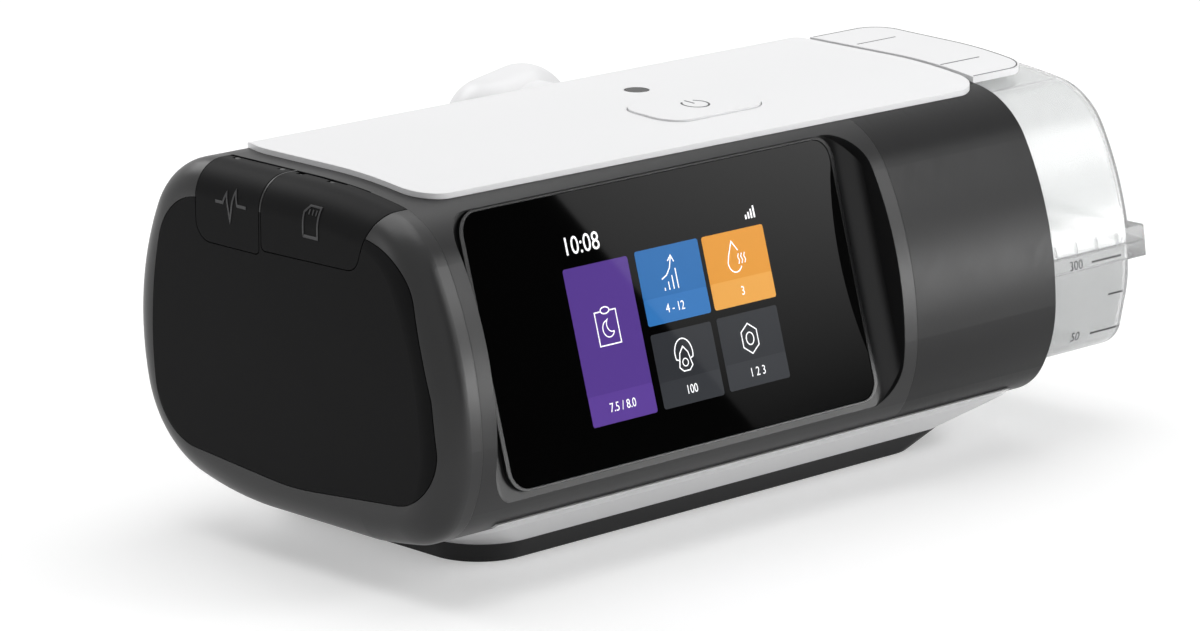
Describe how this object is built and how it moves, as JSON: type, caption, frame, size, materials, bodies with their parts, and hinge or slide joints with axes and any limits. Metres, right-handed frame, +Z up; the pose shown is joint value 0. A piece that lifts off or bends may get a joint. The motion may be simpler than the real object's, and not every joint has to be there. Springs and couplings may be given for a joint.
{
  "type": "bedside breathing therapy machine with heated humidifier",
  "caption": "Barrel-shaped bedside breathing-therapy machine with tilted screen, push-plate power button, hinged port flaps, slide-out clear water chamber and swivelling rear outlet.",
  "frame": {"origin": "on the table, under the middle of the foot", "axes": "+X towards the water chamber, -Y towards the user and the screen, +Z up"},
  "size_m": [0.2955, 0.172, 0.1126],
  "materials": {
    "shell_black": "satin moulded ABS",
    "sleeve_black": "finely textured ABS",
    "soft_black": "soft-touch coat",
    "white_gloss": "gloss white ABS",
    "white_satin": "satin white ABS",
    "foot_black": "satin black ABS",
    "screen_glass": "polished, black printed border",
    "trim_grey": "gloss dark grey",
    "clear_plastic": "clear polycarbonate",
    "window_dark": "smoked acrylic",
    "silicone": "moulded silicone",
    "black_rubber": "moulded rubber",
    "steel": "bright steel",
    "spring_steel": "drawn wire",
    "heater_metal": "anodised aluminium",
    "circuit_green": "glass-fibre laminate",
    "part_black": "moulded nylon",
    "part_grey": "moulded ABS",
    "magnet_grey": "nickel plate",
    "copper_coil": "enamelled copper wire on a steel core",
    "film_amber": "polyimide film",
    "filter_white": "electret fibre felt"
  },
  "bodies": {
    "machine": {"front_housing": "shell_black", "rear_housing": "shell_black", "end_cap": "shell_black", "humidifier_cover": "sleeve_black", "top_cover": "white_gloss", "end_cap_panel": "soft_black", "flap_hinge_pins": "steel", "base_foot": "foot_black", "rubber_feet": "black_rubber", "base_screws": "steel", "lower_chassis": "white_satin", "port_board": "circuit_green", "pulse_socket": "part_black", "card_socket": "steel", "screen_trim": "trim_grey", "display_glass": "screen_glass", "display_gasket": "black_rubber", "lcd_module": "part_grey", "display_bracket": "part_grey", "main_board": "circuit_green", "board_screws": "steel", "display_ribbon": "film_amber", "top_board": "circuit_green", "tact_switch": "part_black", "button_spring": "spring_steel", "sensor_window": "window_dark", "bay_partition": "part_black", "dock_seals": "silicone", "heater_frame": "part_black", "heater_springs": "spring_steel", "blower_volute": "part_grey", "air_duct": "part_grey", "flow_sensor": "part_black", "blower_base": "part_grey", "motor_can": "magnet_grey", "motor_bearings": "steel", "motor_stator": "copper_coil", "blower_mounts": "silicone", "outlet_plenum": "part_grey", "outlet_socket": "part_black", "filter_frame": "part_black", "air_filter": "filter_white", "power_inlet": "part_black", "speaker": "part_black"},
    "power_button": {"power_button": "white_gloss"},
    "pulse_flap": {"pulse_port_flap": "soft_black"},
    "card_flap": {"card_slot_flap": "soft_black"},
    "tank": {"tank_lid": "clear_plastic", "water_tub": "clear_plastic", "tank_seal": "silicone", "tank_base_plate": "heater_metal", "latch_spring": "spring_steel"},
    "latch": {"latch_plate": "white_gloss"},
    "heater": {"heater_plate": "heater_metal"},
    "outlet": {"outlet_elbow": "white_gloss"},
    "rotor": {"blower_shaft": "steel", "motor_magnet": "magnet_grey", "impeller": "part_black"},
    "filter_door": {"filter_cover": "shell_black"}
  },
  "joints": [
    {"name": "power_button_press", "type": "slide", "parent": "machine", "child": "power_button", "axis": [0, 0, -1], "range_m": [0, 0.0008], "stiffness_N_per_m": 800, "springref_m": -0.0012, "deforming": ["button_spring"]},
    {"name": "pulse_flap_hinge", "type": "hinge", "parent": "machine", "child": "pulse_flap", "pos_m": [-0.10895, 0.014, 0.1094], "axis": [0, 1, 0], "range_deg": [0, 80]},
    {"name": "card_flap_hinge", "type": "hinge", "parent": "machine", "child": "card_flap", "pos_m": [-0.10895, -0.0105, 0.10895], "axis": [0, 1, 0], "range_deg": [0, 80]},
    {"name": "tank_slide", "type": "slide", "parent": "machine", "child": "tank", "axis": [1, 0, 0], "range_m": [0, 0.11]},
    {"name": "latch_press", "type": "slide", "parent": "tank", "child": "latch", "axis": [0, 0, -1], "range_m": [0, 0.0018], "stiffness_N_per_m": 900, "springref_m": -0.0015, "deforming": ["latch_spring"]},
    {"name": "heater_float", "type": "slide", "parent": "machine", "child": "heater", "axis": [0, 0, -1], "range_m": [0, 0.0015], "stiffness_N_per_m": 2000, "springref_m": -0.002, "deforming": ["heater_springs"]},
    {"name": "outlet_swivel", "type": "hinge", "parent": "machine", "child": "outlet", "pos_m": [0.05, 0.08, 0.09], "axis": [0, 1, 0], "range_deg": [-90, 180]},
    {"name": "impeller_spin", "type": "hinge", "parent": "machine", "child": "rotor", "pos_m": [-0.048, 0.012, 0.06], "axis": [0, 0, 1], "continuous": true},
    {"name": "filter_door_hinge", "type": "hinge", "parent": "machine", "child": "filter_door", "pos_m": [-0.076, 0.0576, 0.045], "axis": [-1, 0, 0], "range_deg": [0, 90]}
  ]
}
